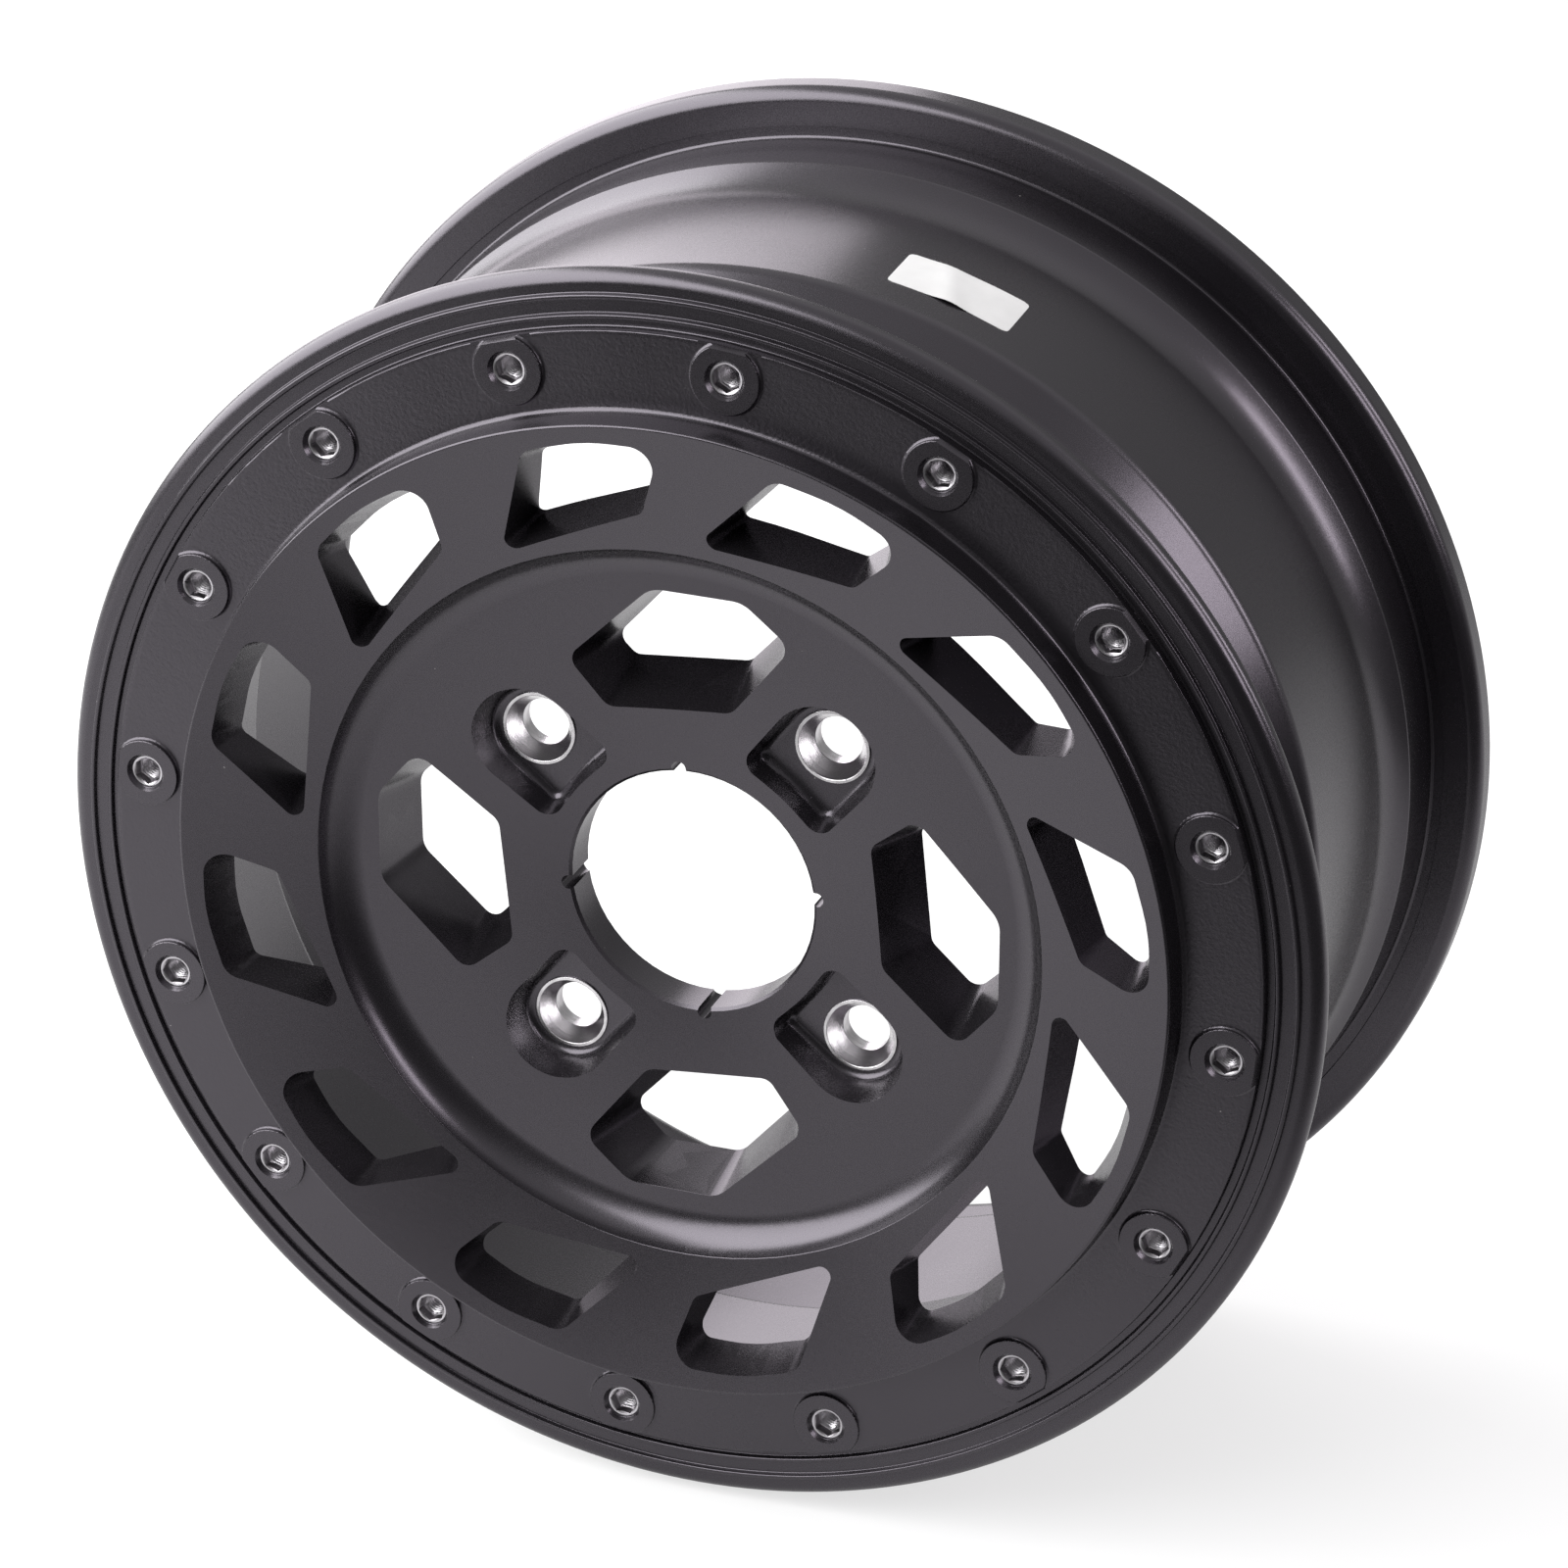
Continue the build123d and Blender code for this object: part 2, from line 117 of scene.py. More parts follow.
# Paint. Colours are linear, and a size is about the width of what a noise makes.
paint_dark = (0.0062, 0.0055, 0.0066, 1)
paint_pale = (0.0086, 0.0078, 0.0091, 1)
paint_gloss_tint = (0.96, 0.89, 1.0, 1)
paint_rough = (0.25, 0.29)
haze_size = 70 * MM
grain_size = 0.5 * MM
grain_height = 0.006 * MM
grain_rough = 0.10
peel_size = 2.4 * MM
peel_height = 0.012 * MM
band_y = mouth_y
band_inner_r = 163.2 * MM
band_outer_r = 187.4 * MM
band_depth = 0.5 * MM
band_fade = 1.0 * MM
band_rough = 0.03               # added on the band
pebble_size = 1.1 * MM
pebble_height = 0.075 * MM
dust_tone = (0.42, 0.40, 0.39, 1)
dust_cover = 0.55
dust_spacing = 9 * MM
dust_patch_size = 12 * MM
dust_speck = 0.028              # radius of the largest specks, as a share of their spacing
nick_at = Vector((-167.9, 144.4, 121.4)) * MM
nick_r = 1.6 * MM
nick_fade = 0.24 * MM
nick_depth = 0.6 * MM
nick_tone = (0.004, 0.004, 0.004, 1)
nick_rough = 0.5

# Steel of the lug seats. Its noises run over each seat's own box, so they have scales, not sizes.
seat_bright = (0.78, 0.76, 0.78, 1)
seat_dull = (0.62, 0.60, 0.62, 1)
seat_rough = (0.17, 0.23)
seat_anisotropy = 0.75
smudge_scale = 5.0
fine_ring_scale = 160.0
fine_ring_height = 0.008 * MM
fine_ring_rough = 0.06
coarse_ring_scale = 30.0
coarse_ring_height = 0.02 * MM

# Steel of the inserts
insert_pale = (0.36, 0.34, 0.36, 1)
insert_dark = (0.20, 0.19, 0.20, 1)
# Bright steel, used for the painted highlight at the mouth and for the thread below the socket.
insert_bright = (0.62, 0.60, 0.63, 1)
insert_rough = (0.24, 0.36)
film_size = 5 * MM
mark_size = 0.35 * MM
mark_height = 0.01 * MM
mark_rough = 0.08
mouth_highlight_depths = (0.05 * MM, 0.35 * MM)   # depths between which the painted highlight round the mouth ends
bright_thread = (0.9 * socket_depth, socket_depth)

# Paper of the label
paper_white = (0.73, 0.73, 0.725, 1)
paper_toned = (0.69, 0.69, 0.685, 1)
fibre_tone = (0.68, 0.675, 0.67, 1)
paper_rough = (0.5, 0.65)
tone_size = 9 * MM
fibre_size = 0.4 * MM
fibre_height = 0.015 * MM

# Camera, as fitted to the photograph, with its lens and sensor in millimetres
camera_at = Vector((0.63099, -1.60084, 0.83543))
camera_azimuth = radians(20.780)
camera_elevation = radians(25.128)
camera_lens = 141.74
camera_sensor = 36.0

# Floor
floor_size = 6.0
floor_edge_at = Vector((0.1, -0.67))    # a point on the floor's front edge
floor_turn = radians(40)
floor_shade_width = 0.45                       # width of the strip at the front edge over which the floor's painted shade fades out
floor_white = 0.38
floor_glow = 0.64
floor_gloss_glow = 0.28

# Lamps. Bearings run clockwise from behind the wheel, seen from above, in degrees as elevations are.
key_box = {"bearing": 250, "elevation": 36, "distance": 1.3, "size": (2.9, 1.4), "radiance": 5.0}
right_box = {"bearing": 105, "elevation": 28, "distance": 1.3, "size": (0.27, 0.62), "radiance": 6.5}
rear_right_box = {"bearing": 71, "elevation": 27, "distance": 1.3, "size": (0.2, 0.66), "radiance": 7.0}
rear_box = {"bearing": 326, "elevation": 16, "distance": 1.35, "size": (0.9, 0.85), "radiance": 2.5}
key_tint = (1.0, 1.0, 1.0)
rear_tint = (1.0, 0.945, 0.995)         # the lamps behind and at the right are faintly pink

# Room
room_front = 0.06
room_back = 0.29
room_top = 0.50
wall_span = (-0.2, 0.6)                 # share of a direction that points back, from front to back wall
ceiling_span = (0.3, 0.95)              # share that points up, from the walls to the ceiling


class Graph:
    """Short ways to add nodes to the tree of a material or world."""

    def __init__(self, tree):
        self.tree = tree

    def put(self, socket, value):
        """Link an output to the socket, or set a plain value on it."""
        if isinstance(value, bpy.types.NodeSocket):
            self.tree.links.new(value, socket)
        else:
            socket.default_value = value

    def add(self, kind, inputs=None, **settings):
        node = self.tree.nodes.new("ShaderNode" + kind)
        for name, value in settings.items():
            setattr(node, name, value)
        for name, value in (inputs or {}).items():
            self.put(node.inputs[name], value)
        return node

    def math(self, operation, *values):
        return self.add("Math", dict(enumerate(values)), operation=operation).outputs["Value"]

    def measure(self, operation, *vectors):
        """A plain number from vectors, such as a length."""
        return self.add("VectorMath", dict(enumerate(vectors)), operation=operation).outputs["Value"]

    def radius(self, x, z):
        """Distance from the Y axis."""
        return self.measure("LENGTH", self.add("CombineXYZ", {"X": x, "Z": z}).outputs[0])

    def noise(self, place, size, detail=2.0):
        """Noise, mostly from 0.3 to 0.7, whose features are about size metres wide."""
        return self.scaled_noise(place, 1 / size, detail)

    def scaled_noise(self, place, scale, detail):
        """The same with Blender's own scale, for places that aren't in metres."""
        inputs = {"Vector": place, "Scale": scale, "Detail": detail}
        return self.add("TexNoise", inputs).outputs["Fac"]

    def ramp(self, value, low, high, first=0.0, last=1.0):
        """From first at low to last at high, smooth between."""
        inputs = {"Value": value, "From Min": low, "From Max": high, "To Min": first, "To Max": last}
        return self.add("MapRange", inputs, interpolation_type="SMOOTHSTEP").outputs["Result"]

    def mix(self, share, first, second):
        return self.add("Mix", {0: share, 6: first, 7: second}, data_type="RGBA").outputs[2]

    def bump(self, height, distance, normal=None):
        inputs = {"Height": height, "Distance": distance}
        if normal is not None:
            inputs["Normal"] = normal
        return self.add("Bump", inputs).outputs["Normal"]

    def seen_directly(self):
        """1 for rays from the camera, straight or through glass, and 0 for the rest."""
        rays = self.add("LightPath").outputs
        return self.math("MAXIMUM", rays["Is Camera Ray"], rays["Is Transmission Ray"])


def new_material(name):
    """A material, its graph and its shader."""
    material = bpy.data.materials.new(name)
    material.use_nodes = True
    shader = material.node_tree.nodes["Principled BSDF"]
    return material, Graph(material.node_tree), shader


def wheel_paint():
    """Satin black paint: fine grain, a pebbled band, faint haze, dust and one dark nick."""
    material, graph, shader = new_material("wheel_paint_satin")
    place = graph.add("TexCoord").outputs["Object"]
    axes = graph.add("SeparateXYZ", {"Vector": place}).outputs
    radius = graph.radius(axes["X"], axes["Z"])

    off_band = graph.math("ABSOLUTE", graph.math("SUBTRACT", axes["Y"], band_y))
    band = graph.math("MULTIPLY", graph.ramp(off_band, band_depth, band_depth / 2),
                      graph.ramp(radius, band_inner_r - band_fade, band_inner_r))
    band = graph.math("MULTIPLY", band, graph.ramp(radius, band_outer_r, band_outer_r - band_fade))

    haze = graph.noise(place, haze_size, 3.0)
    grain = graph.noise(place, grain_size)
    peel = graph.noise(place, peel_size)
    pebbles = graph.math("MULTIPLY", graph.noise(place, pebble_size), band)
    cells = graph.add("TexVoronoi", {"Vector": place, "Scale": 1 / dust_spacing})
    speck_r = graph.ramp(graph.noise(place, dust_patch_size, 0.0), 0.45, 0.75, 0.0, dust_speck)
    speck = graph.math("LESS_THAN", cells.outputs["Distance"], speck_r)
    off_nick = graph.measure("DISTANCE", place, nick_at)
    nick = graph.ramp(off_nick, nick_r + nick_fade, nick_r - nick_fade)

    paint = graph.mix(graph.ramp(haze, 0.3, 0.7), paint_dark, paint_pale)
    paint = graph.mix(graph.math("MULTIPLY", speck, dust_cover), paint, dust_tone)
    graph.put(shader.inputs["Base Color"], graph.mix(nick, paint, nick_tone))
    rough = graph.ramp(haze, 0.25, 0.75, *paint_rough)
    rough = graph.math("MULTIPLY_ADD", graph.math("SUBTRACT", grain, 0.5), grain_rough, rough)
    rough = graph.math("MULTIPLY_ADD", band, band_rough, rough)
    graph.put(shader.inputs["Roughness"], graph.math("MULTIPLY_ADD", nick, nick_rough, rough))
    normal = graph.bump(peel, peel_height)
    normal = graph.bump(grain, grain_height, normal)
    normal = graph.bump(pebbles, pebble_height, normal)
    dent = graph.math("SUBTRACT", 0.0, nick)
    graph.put(shader.inputs["Normal"], graph.bump(dent, nick_depth, normal))
    shader.inputs["Specular IOR Level"].default_value = 1.0
    shader.inputs["Specular Tint"].default_value = paint_gloss_tint
    return material


def seat_steel():
    """Bright turned steel with fine rings about each seat's own axis."""
    material, graph, shader = new_material("seat_steel_turned")
    generated = graph.add("TexCoord").outputs["Generated"]
    axes = graph.add("SeparateXYZ", {"Vector": generated}).outputs
    radius = graph.radius(graph.math("SUBTRACT", axes["X"], 0.5), graph.math("SUBTRACT", axes["Z"], 0.5))
    rings = graph.add("CombineXYZ", {"X": radius, "Y": axes["Y"]}).outputs[0]
    fine = graph.scaled_noise(rings, fine_ring_scale, 3.0)
    coarse = graph.scaled_noise(rings, coarse_ring_scale, 2.0)
    smudge = graph.scaled_noise(generated, smudge_scale, 4.0)

    steel = graph.mix(graph.ramp(smudge, 0.35, 0.7), seat_bright, seat_dull)
    graph.put(shader.inputs["Base Color"], steel)
    rough = graph.ramp(smudge, 0.3, 0.7, *seat_rough)
    graph.put(shader.inputs["Roughness"], graph.math("MULTIPLY_ADD", fine, fine_ring_rough, rough))
    shader.inputs["Metallic"].default_value = 1.0
    shader.inputs["Anisotropic"].default_value = seat_anisotropy
    tangent = graph.add("Tangent", direction_type="RADIAL", axis="Y").outputs[0]
    graph.put(shader.inputs["Tangent"], tangent)
    normal = graph.bump(coarse, coarse_ring_height)
    graph.put(shader.inputs["Normal"], graph.bump(fine, fine_ring_height, normal))
    return material


def insert_steel():
    """Darkened machined steel with light tool marks, a painted highlight round the mouth, and bright in
    the thread.
    """
    material, graph, shader = new_material("insert_steel_machined")
    place = graph.add("TexCoord").outputs["Object"]
    depth = graph.math("SUBTRACT", graph.add("SeparateXYZ", {"Vector": place}).outputs["Y"], mouth_y)
    film = graph.noise(place, film_size, 3.0)
    marks = graph.noise(place, mark_size)

    steel = graph.mix(graph.ramp(film, 0.35, 0.65), insert_pale, insert_dark)
    # Painted highlight: the rim of the mouth is painted bright.
    steel = graph.mix(graph.ramp(depth, *mouth_highlight_depths), insert_bright, steel)
    steel = graph.mix(graph.ramp(depth, *bright_thread), steel, insert_bright)
    graph.put(shader.inputs["Base Color"], steel)
    rough = graph.ramp(film, 0.3, 0.7, *insert_rough)
    graph.put(shader.inputs["Roughness"], graph.math("MULTIPLY_ADD", marks, mark_rough, rough))
    shader.inputs["Metallic"].default_value = 1.0
    graph.put(shader.inputs["Normal"], graph.bump(marks, mark_height))
    return material


def label_paper():
    """White label paper with fine fibres and a slightly toned surface."""
    material, graph, shader = new_material("label_paper_white")
    place = graph.add("TexCoord").outputs["Object"]
    fibres = graph.noise(place, fibre_size, 4.0)
    tone = graph.noise(place, tone_size, 3.0)

    paper = graph.mix(graph.ramp(tone, 0.3, 0.7), paper_white, paper_toned)
    paper = graph.mix(graph.ramp(fibres, 0.55, 0.8), paper, fibre_tone)
    graph.put(shader.inputs["Base Color"], paper)
    graph.put(shader.inputs["Roughness"], graph.ramp(fibres, 0.2, 0.8, *paper_rough))
    graph.put(shader.inputs["Normal"], graph.bump(fibres, fibre_height))
    return material


def new_object(name, data):
    """An object in the scene that shows the data."""
    made = bpy.data.objects.new(name, data)
    bpy.context.scene.collection.objects.link(made)
    return made


def new_piece(name, points, faces, material, node):
    """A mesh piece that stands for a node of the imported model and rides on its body."""
    mesh = bpy.data.meshes.new(name)
    mesh.from_pydata(points, [], faces)
    work = bmesh.new()
    work.from_mesh(mesh)
    loose = [vertex for vertex in work.verts if not vertex.link_faces]
    bmesh.ops.delete(work, geom=loose, context="VERTS")
    bmesh.ops.remove_doubles(work, verts=work.verts, dist=join_distance)
    bmesh.ops.recalc_face_normals(work, faces=work.faces)
    work.to_mesh(mesh)
    work.free()
    mesh.shade_smooth()
    mesh.set_sharp_from_angle(angle=sharp_angle)
    mesh.materials.append(material)
    piece = new_object(name, mesh)
    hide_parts(node)
    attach(piece, "root")
    return piece


def hex_radius(angle):
    """Wall of a hex socket at an angle from one of its corners."""
    return socket_corner_r * cos(pi / 6) / cos(angle % (pi / 3) - pi / 6)


def thread_radius(angle, depth):
    """Surface of the thread below the socket, with a lead-in at its top."""
    share = abs(2 * ((depth / thread_pitch - angle / (2 * pi)) % 1) - 1)
    share = min(max((share - thread_flat) / (1 - 2 * thread_flat), 0), 1)
    surface = thread_crest_r + share * (thread_root_r - thread_crest_r)
    return max(surface, thread_root_r - depth)


def insert_rings(angles):
    """Rings of (radius, y) round one insert, from its outside over the mouth to its end."""
    walls = [hex_radius(a) for a in angles]
    floor_y = mouth_y + socket_depth
    rings = [
        [(insert_r, insert_end_y)] * ring_points,
        [(insert_r, mouth_y + insert_edge)] * ring_points,
        [(insert_r - insert_edge, mouth_y)] * ring_points,
        [(lead_in_r, mouth_y)] * ring_points,
        [(wall, mouth_y + lead_in_slope * (lead_in_r - wall)) for wall in walls],
        [(wall, floor_y - socket_floor_round) for wall in walls],
        [(wall - socket_floor_round, floor_y) for wall in walls],
    ]
    length = insert_end_y - floor_y
    steps = round(length / thread_pitch * rings_per_pitch)
    for step in range(steps + 1):
        depth = length * step / steps
        rings.append([(min(thread_radius(a, depth), wall - socket_floor_round), floor_y + depth)
                      for a, wall in zip(angles, walls)])
    return rings


def socket_turn(number):
    """Turn of an insert's hex socket: the first ones as set, the rest in even steps."""
    if number < len(socket_turns):
        return radians(socket_turns[number])
    return radians(socket_turn_step * number)


def thread_inserts():
    """All the inserts, each with its hex socket and its thread, as one piece."""
    angles = [2 * pi * k / ring_points for k in range(ring_points)]
    rings = insert_rings(angles)
    points, faces = [], []
    for number in range(insert_count):
        turn = insert_phase + 2 * pi * number / insert_count
        middle = Vector((sin(turn), 0, cos(turn))) * insert_circle_r
        hex_turn = socket_turn(number)
        start = len(points)
        for ring in rings:
            for angle, (radius, y) in zip(angles, ring):
                out = Vector((sin(angle + hex_turn), 0, cos(angle + hex_turn))) * radius
                points.append(middle + out + Vector((0, y, 0)))
        for row in range(len(rings)):
            this_row = start + row * ring_points
            next_row = start + (row + 1) % len(rings) * ring_points
            for k in range(ring_points):
                after = (k + 1) % ring_points
                faces.append((this_row + k, this_row + after, next_row + after, next_row + k))
    new_piece("hex_thread_inserts", points, faces, insert_steel(), "thread_inserts")


def label_lift(across, along):
    """Height of the raised crease that runs over the label."""
    share = along / label_height + 0.5
    middle = crease_front + (crease_back - crease_front) * share
    lift = crease_front_lift + (crease_back_lift - crease_front_lift) * share
    return lift * exp(-((across - middle) / crease_width) ** 2)


def label_point(across, along, height):
    """A point of the label in the frame, from its place on the flat sheet."""
    turned_across = across * cos(label_tilt) - along * sin(label_tilt)
    turned_along = across * sin(label_tilt) + along * cos(label_tilt)
    angle = label_phase + turned_across / label_r
    radius = label_r + height
    return Vector((radius * sin(angle), label_y + turned_along, radius * cos(angle)))


def label_side(height):
    """Points of one side of the label, row by row, with its rounded corners."""
    points = []
    for row in range(label_rows + 1):
        along = -label_height / 2 + label_height * row / label_rows
        past = max(abs(along) - (label_height / 2 - label_corner), 0)
        half = label_width / 2 - label_corner + sqrt(max(label_corner ** 2 - past ** 2, 0))
        for column in range(label_columns + 1):
            across = half * (2 * column / label_columns - 1)
            points.append(label_point(across, along, height + label_lift(across, along)))
    return points


def blank_label():
    """Thin paper sheet that follows the barrel and lifts at its crease."""
    top = label_side(label_thickness)
    under = len(top)
    columns, rows = label_columns + 1, label_rows + 1
    faces = []
    for row in range(label_rows):
        for column in range(label_columns):
            a = row * columns + column
            square = (a, a + 1, a + columns + 1, a + columns)
            faces.append(square)
            faces.append(tuple(under + k for k in reversed(square)))
    edge = list(range(columns)) + [r * columns + label_columns for r in range(1, rows)]
    edge += [label_rows * columns + c for c in range(label_columns - 1, -1, -1)]
    edge += [r * columns for r in range(label_rows - 1, 0, -1)]
    for a, b in zip(edge, edge[1:] + edge[:1]):
        faces.append((a, under + a, under + b, b))
    new_piece("paper_label", top + label_side(0.0), faces, label_paper(), "blank_label")


def rings_of(points):
    """The turned ring that each point lies on, as its radius and depth in steps."""
    known, rings = set(), []
    for point in points:
        radius, depth = round(hypot(point.x, point.z) / ring_step), round(point.y / ring_step)
        near = [(radius + a, depth + b) for a in (0, -1, 1) for b in (0, -1, 1)]
        ring = next((place for place in near if place in known), near[0])
        known.add(ring)
        rings.append(ring)
    return rings


def ring_place(ring):
    """Radius and depth of a ring."""
    return ring[0] * ring_step, ring[1] * ring_step


def on_rim(ring):
    """Whether a ring is outside the face: on the lip, the barrel or the rear flange."""
    radius, depth = ring_place(ring)
    return depth > rim_front_y or radius > rim_front_r


def on_face_edge(ring):
    """Whether a ring is on the raised edge of the face, inside the band."""
    radius, depth = ring_place(ring)
    return face_edge_low < radius < face_edge_high and depth < face_edge_back


def ring_links(rings, faces, in_zone):
    """For each ring of a zone that has enough points, the others that a facet joins it to."""
    counts = Counter(rings)
    fit = {ring for ring in counts if counts[ring] >= ring_least and in_zone(ring)}
    links = {}
    for face in faces:
        for ring, other in permutations({rings[corner] for corner in face} & fit, 2):
            links.setdefault(ring, set()).add(other)
    return links


def walk_outline(links, start, seen):
    """Rings along a zone's outline, from the start past those seen, as far as it goes."""
    way, heading = [start], None
    while True:
        here = way[-1]
        seen.add(here)
        onward = []
        for ring in links[here] - seen:
            if heading is None or heading.dot(Vector(ring) - Vector(here)) > 0:
                onward.append(ring)
        if not onward:
            return way
        way.append(min(onward, key=lambda ring: dist(ring, here)))
        heading = Vector(way[-1]) - Vector(here)


def zone_outline(rings, faces, in_zone):
    """Rings along a zone's whole outline, walked both ways from its outermost ring."""
    links = ring_links(rings, faces, in_zone)
    outermost, seen = max(links), set()
    one_way = walk_outline(links, outermost, seen)
    other_way = walk_outline(links, outermost, seen)
    return one_way[::-1] + other_way[1:]


def off_outline(ring, outline):
    """Distance of a ring from a zone's outline."""
    nearest = inf
    for start, end in zip(outline, outline[1:]):
        share = intersect_point_line(Vector(ring), Vector(start), Vector(end))[1]
        spot = Vector(start).lerp(Vector(end), min(max(share, 0), 1))
        nearest = min(nearest, dist(ring, spot))
    return nearest * ring_step


def spaced_rings(outline):
    """The outline's rings without those too near the one before, and with both ends."""
    kept = outline[:1]
    for ring in outline[1:-1]:
        if dist(ring, kept[-1]) * ring_step > ring_gap:
            kept.append(ring)
    return kept + outline[-1:]


def strip(first, second):
    """Triangles between two rings of (angle, point), each in order of angle."""
    first = first + [(first[0][0] + 2 * pi, first[0][1])]
    second = second + [(second[0][0] + 2 * pi, second[0][1])]
    faces, a, b = [], 0, 0
    while a + b < len(first) + len(second) - 2:
        after_a = first[a + 1][0] if a + 1 < len(first) else inf
        after_b = second[b + 1][0] if b + 1 < len(second) else inf
        if after_a <= after_b:
            faces.append((first[a][1], first[a + 1][1], second[b][1]))
            a += 1
        else:
            faces.append((first[a][1], second[b + 1][1], second[b][1]))
            b += 1
    return faces


def even_zone(points, faces, in_zone):
    """Make a turned zone anew in even strips along its own outline, which leaves its shape as it was."""
    rings = rings_of(points)
    outline = zone_outline(rings, faces, in_zone)
    near = {ring for ring in set(rings) if in_zone(ring) and off_outline(ring, outline) < outline_depth}
    faces = [face for face in faces if not near.issuperset(rings[corner] for corner in face)]
    points = list(points)
    angles = [2 * pi * k / strip_segments - pi for k in range(strip_segments)]
    loops = []
    for ring in spaced_rings(outline):
        if ring in (outline[0], outline[-1]):
            own = {round(atan2(point.x, point.z), angle_digits): number
                   for number, (point, place) in enumerate(zip(points, rings)) if place == ring}
            loops.append(sorted(own.items()))
        else:
            radius, depth = ring_place(ring)
            loops.append([(angle, len(points) + k) for k, angle in enumerate(angles)])
            points += [Vector((radius * sin(angle), depth, radius * cos(angle))) for angle in angles]
    for first, second in zip(loops, loops[1:]):
        faces += strip(first, second)
    return points, faces


def turned_slopes(mesh):
    """Slope in steps of each facet of a turned surface, by the facet's number."""
    slopes = {}
    for face in mesh.polygons:
        out = Vector((face.center.x, face.center.z)).normalized()
        lean = Vector((face.normal.x, face.normal.z))
        if abs(out.cross(lean)) < turned_limit:
            slopes[face.index] = round(atan2(face.normal.y, out.dot(lean)) / slope_step)
    return slopes


def ring_slopes(mesh, rings, slopes):
    """Shading slope of each ring for each facet slope that meets there, weighted by area."""
    areas = {}
    for number, slope in slopes.items():
        face = mesh.polygons[number]
        for corner in face.vertices:
            table = areas.setdefault(rings[corner], {})
            table[slope] = table.get(slope, 0) + face.area
    shading = {}
    for ring, table in areas.items():
        for slope in table:
            near = [s for s in table if cos((s - slope) * slope_step) > cos(sharp_angle)]
            rise = sum(table[s] * sin(s * slope_step) for s in near)
            run = sum(table[s] * cos(s * slope_step) for s in near)
            shading[ring, slope] = atan2(rise, run)
    return shading


def weighted_normals(piece):
    """Corner normals in which large flat faces outweigh the rounds beside them."""
    flat = piece.modifiers.new("flat faces stay flat", "WEIGHTED_NORMAL")
    flat.mode = "FACE_AREA_WITH_ANGLE"
    flat.keep_sharp = True
    shaded = piece.evaluated_get(bpy.context.evaluated_depsgraph_get()).data
    normals = [corner.vector.copy() for corner in shaded.corner_normals]
    piece.modifiers.remove(flat)
    return normals


def shade_casting(piece):
    """Shade turned surfaces as true rings, and the rest so that flat faces look flat."""
    mesh = piece.data
    normals = weighted_normals(piece)
    rings = rings_of([vertex.co for vertex in mesh.vertices])
    slopes = turned_slopes(mesh)
    shading = ring_slopes(mesh, rings, slopes)
    for number, slope in slopes.items():
        face = mesh.polygons[number]
        for corner, vertex in zip(face.loop_indices, face.vertices):
            point = mesh.vertices[vertex].co
            angle = shading[rings[vertex], slope]
            out = Vector((point.x, 0, point.z)).normalized()
            normals[corner] = out * cos(angle) + Vector((0, sin(angle), 0))
    mesh.normals_split_custom_set(normals)


def cast_wheel():
    """The casting's own surface, joined along its seams, with even turned zones and true shading."""
    source = frame["nodes"]["wheel_casting"].data
    points = [vertex.co.copy() for vertex in source.vertices]
    faces = [tuple(face.vertices) for face in source.polygons]
    for in_zone in (on_rim, on_face_edge):
        points, faces = even_zone(points, faces, in_zone)
    shade_casting(new_piece("cast_wheel", points, faces, wheel_paint(), "wheel_casting"))


def lug_seats():
    """Give the lug seats, which stay as they are, their finished material."""
    steel = seat_steel()
    for name, node in frame["nodes"].items():
        if name.startswith("lug_seat"):
            node.material_slots[0].material = steel


def floor_material():
    """White floor that takes the wheel's shadow and looks white to the camera, with painted shade that
    darkens its colour and its glow in reflections towards its front edge.
    """
    material, graph, shader = new_material("floor_white")
    graph.tree.nodes.remove(shader)
    place = graph.add("TexCoord").outputs["Object"]
    from_edge = graph.add("SeparateXYZ", {"Vector": place}).outputs["Y"]
    # Painted shade: the floor's colour falls to black towards its front edge, as if the light fell off
    # there.
    white = graph.ramp(from_edge, 0, floor_shade_width, 0, floor_white)
    seen_glow = graph.math("MULTIPLY", graph.seen_directly(),
                           graph.ramp(from_edge, 0, floor_shade_width, 1, floor_glow))
    # Painted shade on the glow that reflections see: it falls to nothing towards the front edge.
    gloss_glow = graph.math("MULTIPLY", graph.add("LightPath").outputs["Is Glossy Ray"],
                            graph.ramp(from_edge, 0, floor_shade_width, 0, floor_gloss_glow))
    glow = graph.add("Emission", {"Strength": graph.math("ADD", seen_glow, gloss_glow)})
    diffuse = graph.add("BsdfDiffuse", {"Color": white})
    both = graph.add("AddShader", {0: diffuse.outputs[0], 1: glow.outputs[0]})
    graph.put(graph.tree.nodes["Material Output"].inputs["Surface"], both.outputs[0])
    return material


def make_floor():
    """Flat sheet under the wheel, turned so that its front edge runs off to the right."""
    half = floor_size / 2
    corners = [(-half, 0, 0), (half, 0, 0), (half, floor_size, 0), (-half, floor_size, 0)]
    mesh = bpy.data.meshes.new("floor")
    mesh.from_pydata(corners, [], [(0, 1, 2, 3)])
    mesh.materials.append(floor_material())
    floor = new_object("floor", mesh)
    floor.location = (floor_edge_at.x, floor_edge_at.y, floor_z)
    floor.rotation_euler.z = floor_turn


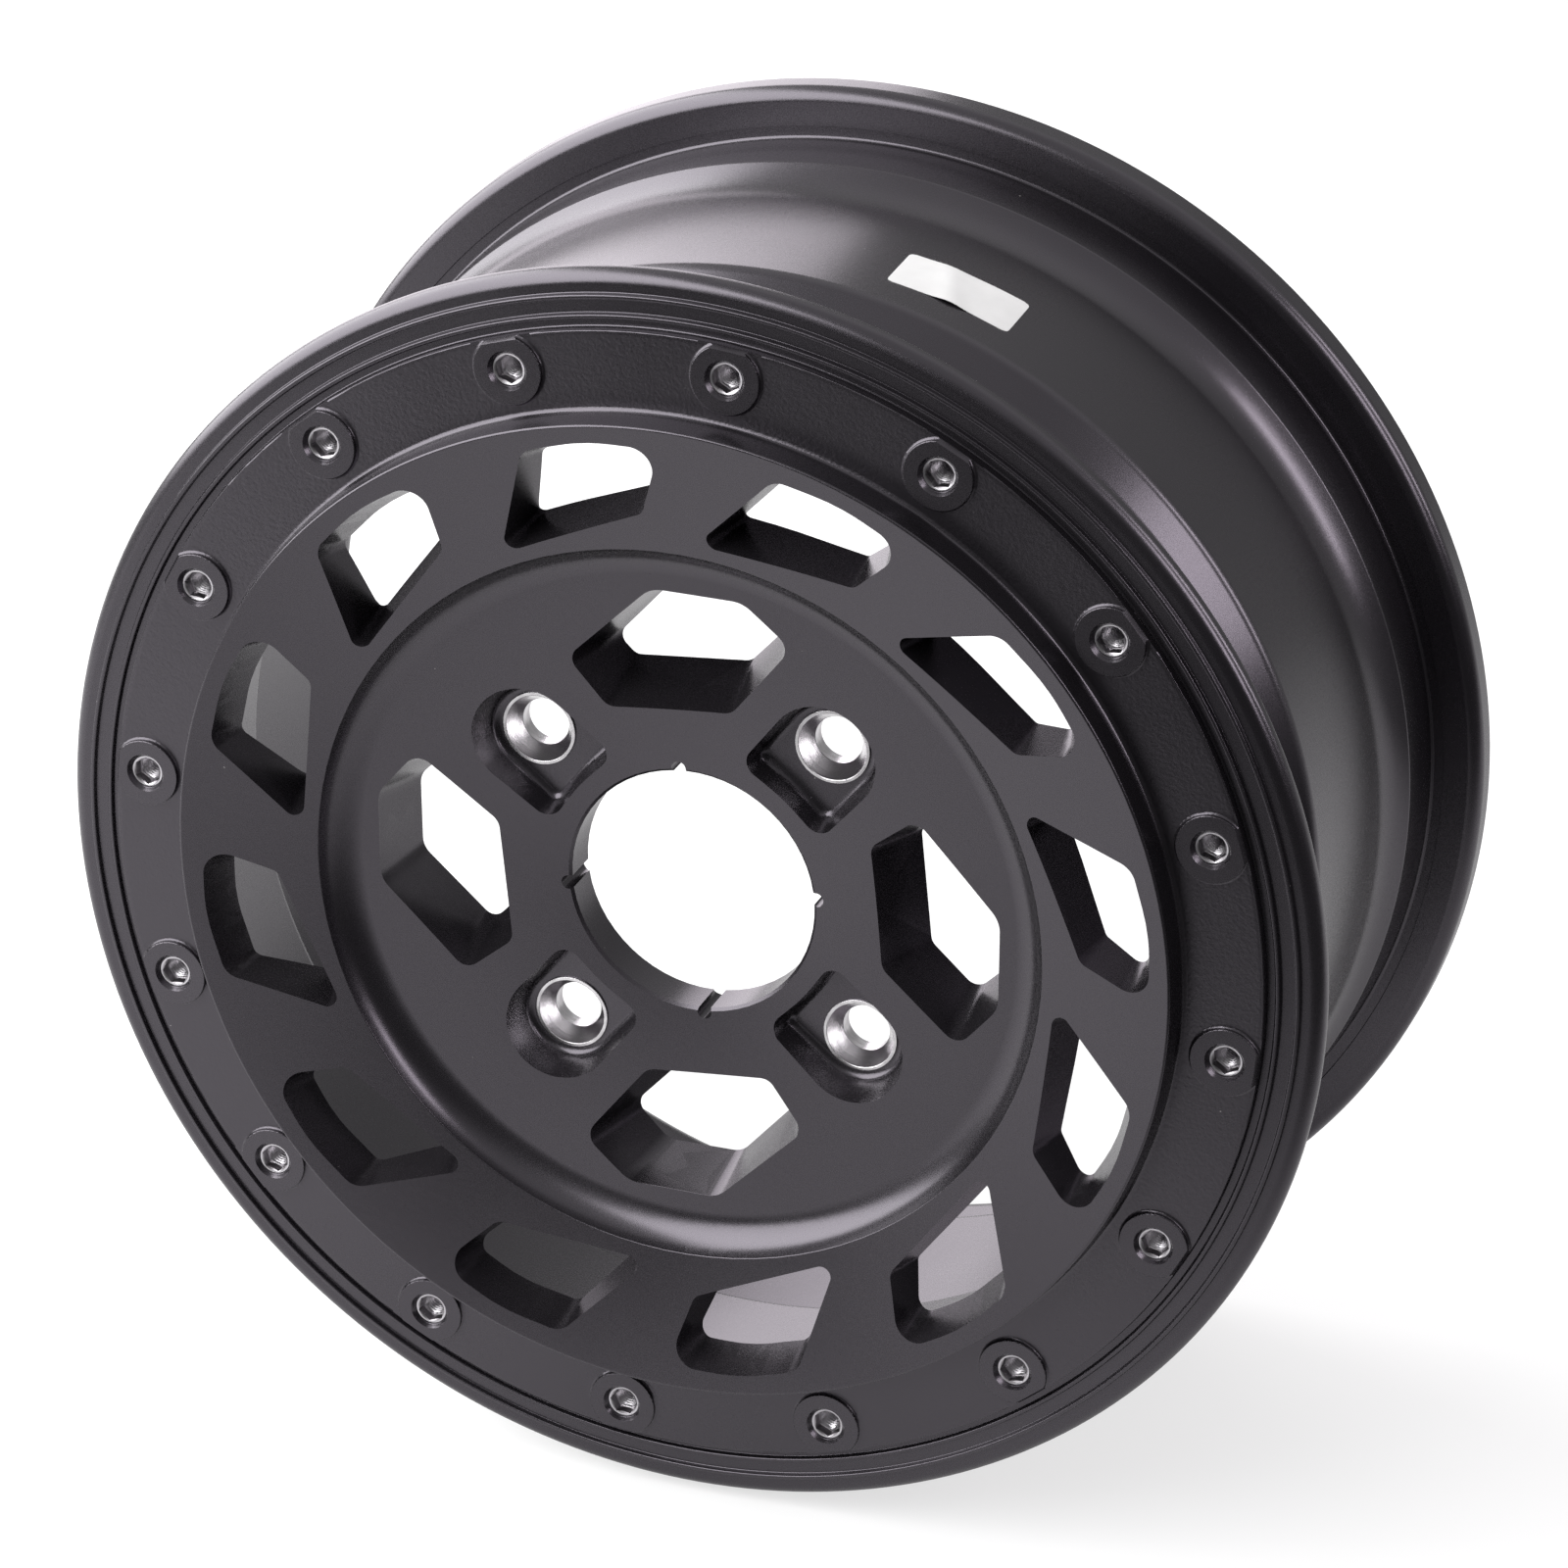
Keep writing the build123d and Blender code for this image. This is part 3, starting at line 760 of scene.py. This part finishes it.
def soft_box(name, tint, bearing, elevation, distance, size, radiance):
    """Soft rectangular lamp that faces the wheel, from a bearing and an elevation in degrees."""
    data = bpy.data.lights.new(name, "AREA")
    data.shape = "RECTANGLE"
    data.size, data.size_y = size
    data.energy = radiance * pi * size[0] * size[1]
    data.color = tint
    lamp = new_object(name, data)
    turn, rise = radians(bearing), radians(elevation)
    out = Vector((sin(turn) * cos(rise), cos(turn) * cos(rise), sin(rise)))
    lamp.location = out * distance
    lamp.rotation_euler = (-out).to_track_quat("-Z", "Y").to_euler()
    lamp.visible_camera = False


def make_room():
    """Room with dim walls, darkest in front, a paler ceiling, and white where the camera sees it."""
    world = bpy.data.worlds.new("studio")
    bpy.context.scene.world = world
    world.use_nodes = True
    graph = Graph(world.node_tree)
    background = world.node_tree.nodes["Background"]
    way = graph.add("TexCoord").outputs["Generated"]
    axes = graph.add("SeparateXYZ", {"Vector": way}).outputs
    walls = graph.ramp(axes["Y"], *wall_span, room_front, room_back)
    ceiling = graph.ramp(axes["Z"], *ceiling_span, 0, room_top)
    light = graph.math("ADD", walls, ceiling)
    graph.put(background.inputs["Strength"], graph.math("MAXIMUM", graph.seen_directly(), light))
    background.inputs["Color"].default_value = (1, 1, 1, 1)


def make_light():
    """Large soft box at the left, two strips at the right and a low box behind, in a dim room."""
    soft_box("key_soft_box", key_tint, **key_box)
    soft_box("right_soft_box", rear_tint, **right_box)
    soft_box("rear_right_soft_box", rear_tint, **rear_right_box)
    soft_box("rear_soft_box", rear_tint, **rear_box)
    make_room()


def make_camera():
    """Camera with the photograph's place, direction and field of view."""
    data = bpy.data.cameras.new("camera")
    data.sensor_width = camera_sensor
    data.lens = camera_lens
    camera = new_object("camera", data)
    camera.location = camera_at
    camera.rotation_euler = (pi / 2 - camera_elevation, 0, camera_azimuth)
    bpy.context.scene.camera = camera


bpy.context.scene.view_settings.view_transform = "Standard"
cast_wheel()
lug_seats()
thread_inserts()
blank_label()
make_floor()
make_light()
make_camera()
